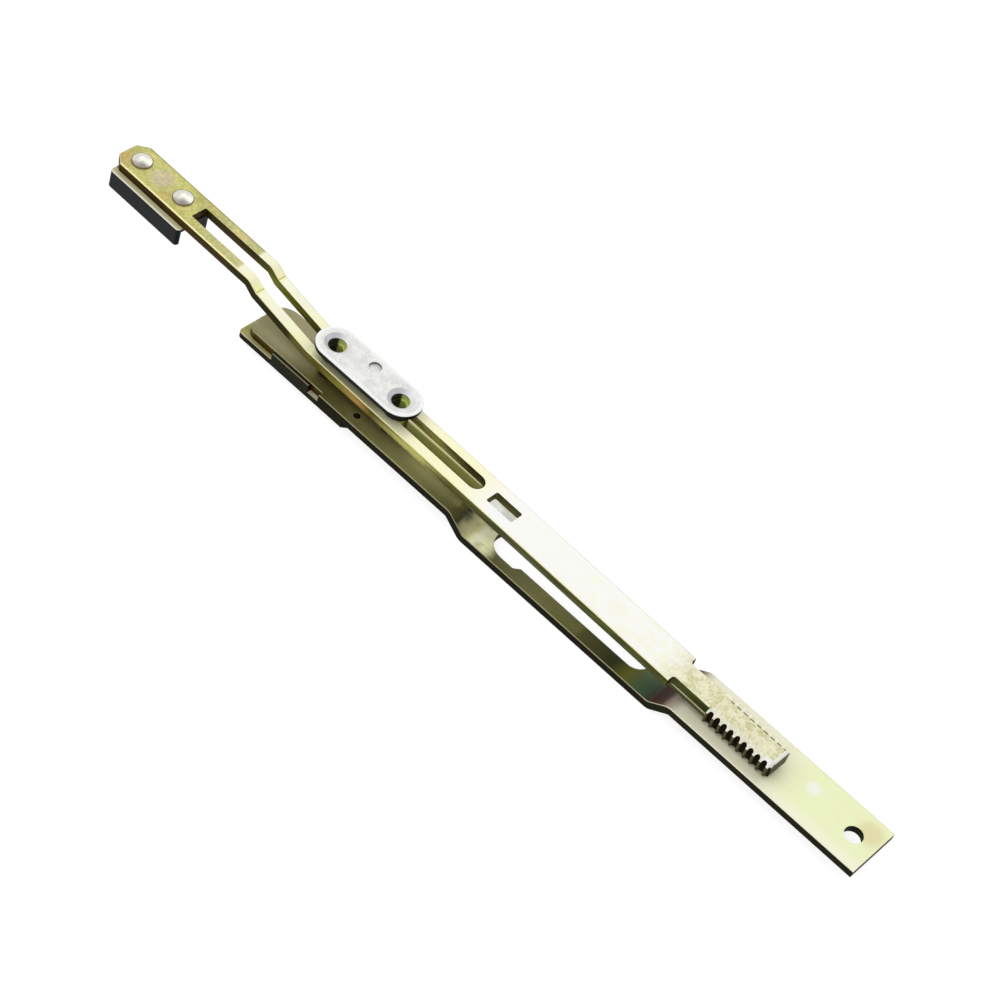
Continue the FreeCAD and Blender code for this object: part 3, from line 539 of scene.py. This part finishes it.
def rod_finish():
    finish = Finish("drive_rod_plating")
    cloud = finish.noise(0.16, 3.0, 0.55, (0.5, 1, 1))
    blotch = finish.noise(0.35, 3.0, 0.6, (0.6, 1, 1), (17, 5, 0))
    head = head_tone(finish, cloud, blotch)
    body = finish.tones(finish.x, *ROD_TOP_TINT_AND_HIGHLIGHT)
    tone = finish.mix(finish.x.ramp(*HEAD_MEETS_ROD), head, body)
    # Painted shade along the crank's crease.
    tone = finish.mix(finish.x.band(*CRANK_CREASE, 0.15), tone, srgb(214, 210, 130))
    yellow = finish.mix(cloud.ramp(0.4, 0.6), LEMON, CREAM)
    mottled = finish.mix(blotch.ramp(0.42, 0.62), WHITE, yellow)
    tone = finish.mix(0.5 * finish.x.ramp(*ROD_MOTTLING), tone, mottled)
    tone = finish.mix(finish.x.ramp(*ROD_TURNS_CAST), tone, cast_speckle(finish))
    # Painted shadow of the guide plate on the rod.
    tone = finish.mix(0.55 * finish.x.band(*GUIDE_SHADOW_ON_ROD_X, 5), tone, OLIVE)
    side = finish.tones(finish.x, *ROD_SIDE_TINT_AND_PAINTED_LIGHT)
    # Painted shade on the crank's outer side.
    outer = (-across_rod(finish)).ramp(*ROD_OUTER_SIDE) * finish.x.band(*CRANK_SIDE, 3)
    side = finish.mix(outer, side, srgb(54, 50, 20))
    # Back edges carry painted shade, darker at the head's tip; front edges a butter painted
    # highlight.
    back = finish.mix(finish.x.ramp(*HEAD_BACK_TURNS_PALE), MOSS, OLIVE)
    metal = 0.8 - 0.6 * finish.x.ramp(*ROD_LOSES_GLOSS)
    return plated(finish, edge_highlight_and_shade(finish, tone, BUTTER, back), side, 0.34, metal)


def cast_speckle(finish):
    """Grainy yellow casting: fine speckle in two tints over soft patches."""
    speckle = finish.noise(1.5, 3.0, 0.7)
    patch = finish.noise(0.4, 2.0, 0.5)
    pale = (0.65 * speckle + 0.35 * patch).ramp(0.38, 0.6)
    return finish.mix(pale, srgb(206, 202, 148), srgb(244, 241, 208))


def turned_finish():
    finish = Finish("turned_plating")
    # Painted light and shade: sides facing one way painted straw as lit, the others near black, and
    # the lit side of each bore painted yellow-green over a dark one.
    lit = (-finish.facing_x).ramp(0.2, 0.8)
    side = finish.mix(lit, NEAR_BLACK, STRAW)
    top = finish.mix(finish.facing_z.ramp(0.3, 0.7), side, OLIVE)
    hole = finish.mix(lit_side_of_hole(finish), srgb(62, 62, 44), srgb(214, 222, 136))
    tone = finish.mix(in_bush(finish), top, hole)
    speck = finish.noise(PLATED_GRAIN, 3.0, 0.6)
    return finish.surface(Base_Color=tone, Metallic=0.5, Roughness=0.35 + 0.1 * speck)


def back_gap_shade_dashes(finish):
    """Painted shade: dark dashes on the top face where the block's back row of gaps shows dark."""
    along = finish.x - BACK_GAP_X
    nearest_gap = BACK_GAP_PITCH * (along * (1 / BACK_GAP_PITCH)).maths("ROUND")
    dashes = abs(along - nearest_gap).band(0, 0.6, 0.1)
    line = across_rod(finish).band(2.4, 2.75, 0.08)
    return line * dashes * finish.x.ramp(BACK_GAP_X - 1, BACK_GAP_X)


def block_finish():
    finish = Finish("block_casting")
    tone = finish.mix(across_rod(finish).ramp(2.6, 3.0), cast_speckle(finish), CREAM)
    # Painted shade of the back gaps, as dark dashes.
    tone = finish.mix(0.8 * back_gap_shade_dashes(finish), tone, srgb(92, 92, 58))
    # Painted highlight on the bevels, weaker on the front bevel left of the bright corner.
    bevel = finish.facing_z.band(0.3, 0.93, 0.03)
    before_corner = 1 - finish.x.ramp(*BLOCK_BRIGHT_CORNER)
    dimmer_front_bevel = (-finish.facing_y).ramp(0.1, 0.3) * before_corner
    tone = finish.mix((1 - 0.55 * dimmer_front_bevel) * bevel, tone, WHITE)
    # Sides as painted shade: near black in the gaps between teeth, lighter on the outer tooth faces
    # and on the end.
    outer = abs(across_rod(finish)).ramp(*BLOCK_OUTER_SIDE)
    side = finish.mix(outer, srgb(20, 14, 4), srgb(92, 84, 52))
    side = finish.mix(finish.facing_x.ramp(0.6, 0.9), side, srgb(70, 66, 40))
    top = finish.facing_z.ramp(0.2, 0.5)
    grain = finish.noise(2.6, 3.0, 0.7)
    return cast(finish, top, tone, side, 0.2, 0.5, grain, 0.25)


def guide_finish():
    finish = Finish("guide_casting")
    grain = finish.noise(1.6, 4.0, 0.65)
    patch = finish.noise(0.35, 2.0, 0.5)
    pale = (0.5 * grain + 0.5 * patch).ramp(0.4, 0.62)
    tone = finish.mix(pale, srgb(224, 226, 221), srgb(246, 247, 243))
    past_end = (abs(finish.x - GUIDE_X) - (GUIDE_HALF_LENGTH - GUIDE_HALF_WIDTH)).higher_of(0.0)
    from_middle = (past_end.power(2) + finish.y.power(2)).power(0.5)
    # A painted highlight on the rim.
    rim = from_middle.ramp(GUIDE_HALF_WIDTH - 1.2, GUIDE_HALF_WIDTH - 0.5)
    tone = finish.mix(rim, tone, srgb(251, 252, 251))
    inside = 1 - from_middle.ramp(GUIDE_HALF_WIDTH - 0.6, GUIDE_HALF_WIDTH - 0.3)
    # Countersinks with painted light and shade: whiter where they face one way, greyer where they
    # face away.
    countersink = finish.facing_z.band(0.4, 0.95, 0.03) * inside
    sink = finish.mix(finish.facing_x.ramp(-0.3, 0.45), srgb(244, 245, 243), srgb(206, 204, 210))
    tone = finish.mix(countersink, tone, sink)
    # Hole walls painted lit on one side; the plate's other sides painted dark as shade.
    hole = finish.mix(lit_side_of_hole(finish), srgb(106, 108, 96), srgb(160, 168, 124))
    side = finish.mix(in_bush(finish), srgb(26, 24, 14), hole)
    dimple = finish.spot(GUIDE_X, DIMPLE_Y, DIMPLE_RADIUS, 0.05)
    side = finish.mix(dimple, side, srgb(128, 130, 126))
    top = finish.facing_z.ramp(0.15, 0.35)
    return cast(finish, top, tone, side, 0.15, 0.45, grain, 0.15)


def insert_finish():
    finish = Finish("insert_casting")
    grain = finish.noise(2.4, 3.0, 0.65)
    # A painted highlight along the front edge of the dark top.
    tone = finish.mix((-finish.y).ramp(*INSERT_EDGE), srgb(44, 38, 16), srgb(188, 180, 146))
    side = finish.mix(grain.ramp(0.4, 0.6), srgb(22, 22, 6), srgb(34, 34, 22))
    top = finish.facing_z.ramp(0.3, 0.7)
    return cast(finish, top, tone, side, 0.6, 0.55, grain, 0.2)


def shoe_finish():
    """Pale ledge in front of the rod with painted shade towards it, over walls painted nearly black
    as shade.
    """
    finish = Finish("shoe_casting")
    grain = finish.noise(2.4, 3.0, 0.65)
    front = -in_mm("bolt_shoe")[0][1]
    tone = finish.mix(grain.ramp(0.35, 0.65), srgb(222, 217, 184), srgb(242, 238, 208))
    tone = finish.mix((-finish.y).ramp(4.0, front), srgb(206, 198, 150), tone)
    # Painted shade on the part seen in the rod's slot.
    tone = finish.mix((-finish.y).ramp(3.0, 3.6), srgb(38, 30, 40), tone)
    tone = edge_highlight_and_shade(finish, tone, srgb(240, 238, 214), srgb(120, 116, 92))
    side = finish.mix(grain.ramp(0.35, 0.65), srgb(26, 28, 30), srgb(38, 38, 40))
    # The end face painted darker still as shade.
    side = finish.mix(finish.facing_x.ramp(0.5, 0.9), side, srgb(12, 10, 14))
    top = finish.facing_z.ramp(0.15, 0.3)
    return cast(finish, top, tone, side, 0.2, 0.5, grain, 0.15)


def rivet_finish(node):
    """Bright zinc: white crown, a painted shade on the front slope and a brown line at the rim."""
    finish = Finish(f"{node}_plating")
    low, high = in_mm(node)
    across = finish.y - (low[1] + high[1]) / 2
    along = finish.x - (low[0] + high[0]) / 2
    from_axis = (across.power(2) + along.power(2)).power(0.5)
    shaded_front_slope = (0.5 * along - 0.87 * across).ramp(0.5, 1.9)
    tone = finish.mix(shaded_front_slope, srgb(251, 250, 240), srgb(172, 164, 156))
    rim = (high[0] - low[0]) / 2
    tone = finish.mix(from_axis.ramp(rim - 0.3, rim - 0.15), tone, srgb(140, 122, 92))
    rounded = finish.node("ShaderNodeBevel", {"samples": 6}, {"Radius": 0.35 * MM})
    return finish.surface(
        Base_Color=tone,
        Metallic=0.35,
        Roughness=0.28,
        Normal=rounded["Normal"],
    )


def finishes():
    dress("base_plate", face_plate_finish())
    dress("backing_strip", backing_finish())
    dress("drive_rod", rod_finish())
    turned = turned_finish()
    for side in ("left", "right"):
        dress(f"guide_bush_{side}", turned)
        dress(f"guide_spacer_{side}", turned)
    dress("toothed_block", block_finish())
    dress("guide_plate", guide_finish())
    dress("edge_insert", insert_finish())
    dress("bolt_shoe", shoe_finish())
    for place in ("front", "rear"):
        dress(f"{place}_rivet", rivet_finish(f"{place}_rivet"))


# The photo's viewpoint, fitted to the plate's edges and holes: degrees and metres.

CAMERA_AZIMUTH = 27.3754
CAMERA_ELEVATION = 47.8386
CAMERA_ROLL = 20.4667
CAMERA_DISTANCE = 0.67246
CAMERA_TARGET = Vector((-0.114963, 0.0047455, 0))
FOCAL_SHARE = 2.8474
SENSOR_WIDTH = 36
NEAREST_SHOWN = 0.01


def camera():
    """The photo's viewpoint, turned about its own axis so that the part lies on the diagonal."""
    azimuth = math.radians(CAMERA_AZIMUTH)
    elevation = math.radians(CAMERA_ELEVATION)
    roll = math.radians(CAMERA_ROLL)
    level = math.cos(elevation)
    back = Vector((math.sin(azimuth) * level, -math.cos(azimuth) * level, math.sin(elevation)))
    right = Vector((math.cos(azimuth), math.sin(azimuth), 0))
    up = back.cross(right)
    rolled_right = math.cos(roll) * right + math.sin(roll) * up
    rolled_up = math.cos(roll) * up - math.sin(roll) * right
    data = bpy.data.cameras.new("view")
    data.sensor_width = SENSOR_WIDTH
    data.lens = SENSOR_WIDTH * FOCAL_SHARE
    data.clip_start = NEAREST_SHOWN
    view = bpy.data.objects.new("view", data)
    turn = Matrix((rolled_right, rolled_up, back)).transposed().to_4x4()
    view.matrix_world = Matrix.Translation(CAMERA_TARGET + back * CAMERA_DISTANCE) @ turn
    bpy.context.scene.collection.objects.link(view)
    bpy.context.scene.camera = view


PART_MIDDLE = Vector((-0.115, 0, 0))

# Lamps: direction from the part, distance, size and brightness.

SOFTBOXES = {
    "back_softbox": ((0.05, 0.7, 0.71), 1.1, (2.6, 0.9), 0.85),
    "front_softbox": ((-0.20, -0.50, 0.84), 1.0, (1.6, 0.9), 1.3),
}
WORLD_STRENGTH = 0.4

# The floor: half its width, its gap below the part, the grey that it lights the part with,
# and the grey and the glow that are seen.

FLOOR_REACH = 2.0
FLOOR_GAP = 0.0002
BOUNCE_GREY = 0.8
PAPER_GREY = 0.3
PAPER_GLOW = 0.85


def softbox(name, direction, distance, size, brightness):
    """Rectangular lamp aimed at the part; a brightness of 1 shows as white in a mirror."""
    data = bpy.data.lights.new(name, "AREA")
    data.shape = "RECTANGLE"
    data.size, data.size_y = size
    data.energy = brightness * math.pi * size[0] * size[1]
    lamp = bpy.data.objects.new(name, data)
    ray = Vector(direction).normalized()
    lamp.location = PART_MIDDLE + distance * ray
    lamp.rotation_euler = (-ray).to_track_quat("-Z", "Y").to_euler()
    bpy.context.scene.collection.objects.link(lamp)


def grey(level):
    return (level, level, level, 1)


def floor():
    """Pale paper that keeps the shadow; the camera and mirrors see it nearly white."""
    place = Matrix.Translation((0, 0, cad_bounds[0][2] - FLOOR_GAP))
    sheet = bmesh.new()
    bmesh.ops.create_grid(sheet, x_segments=1, y_segments=1, size=FLOOR_REACH, matrix=place)
    mesh = bpy.data.meshes.new("floor")
    sheet.to_mesh(mesh)
    sheet.free()
    plane = bpy.data.objects.new("floor", mesh)
    bpy.context.scene.collection.objects.link(plane)
    finish = Finish("floor_paper")
    path = finish.node("ShaderNodeLightPath")
    shown = path["Is Camera Ray"].higher_of(path["Is Glossy Ray"])
    shown = shown.higher_of(path["Is Transmission Ray"])
    bounce = finish.node("ShaderNodeBsdfDiffuse", {}, {"Color": grey(BOUNCE_GREY)})
    paper = finish.node("ShaderNodeBsdfDiffuse", {}, {"Color": grey(PAPER_GREY)})
    glow = finish.node("ShaderNodeEmission", {}, {"Color": grey(1), "Strength": PAPER_GLOW})
    lit = finish.node("ShaderNodeAddShader", {}, {0: paper["BSDF"], 1: glow["Emission"]})
    blend = finish.node("ShaderNodeMixShader", {}, {0: shown, 1: bounce["BSDF"], 2: lit[0]})
    finish.tree.links.new(blend["Shader"].source, finish.output.inputs["Surface"])
    mesh.materials.append(finish.material)


def world():
    data = bpy.data.worlds.new("studio")
    data.use_nodes = True
    background = data.node_tree.nodes["Background"]
    background.inputs["Color"].default_value = grey(1)
    background.inputs["Strength"].default_value = WORLD_STRENGTH
    bpy.context.scene.world = data


finishes()
camera()
floor()
world()
for name, setting in SOFTBOXES.items():
    softbox(name, *setting)
bpy.context.scene.view_settings.view_transform = "Standard"
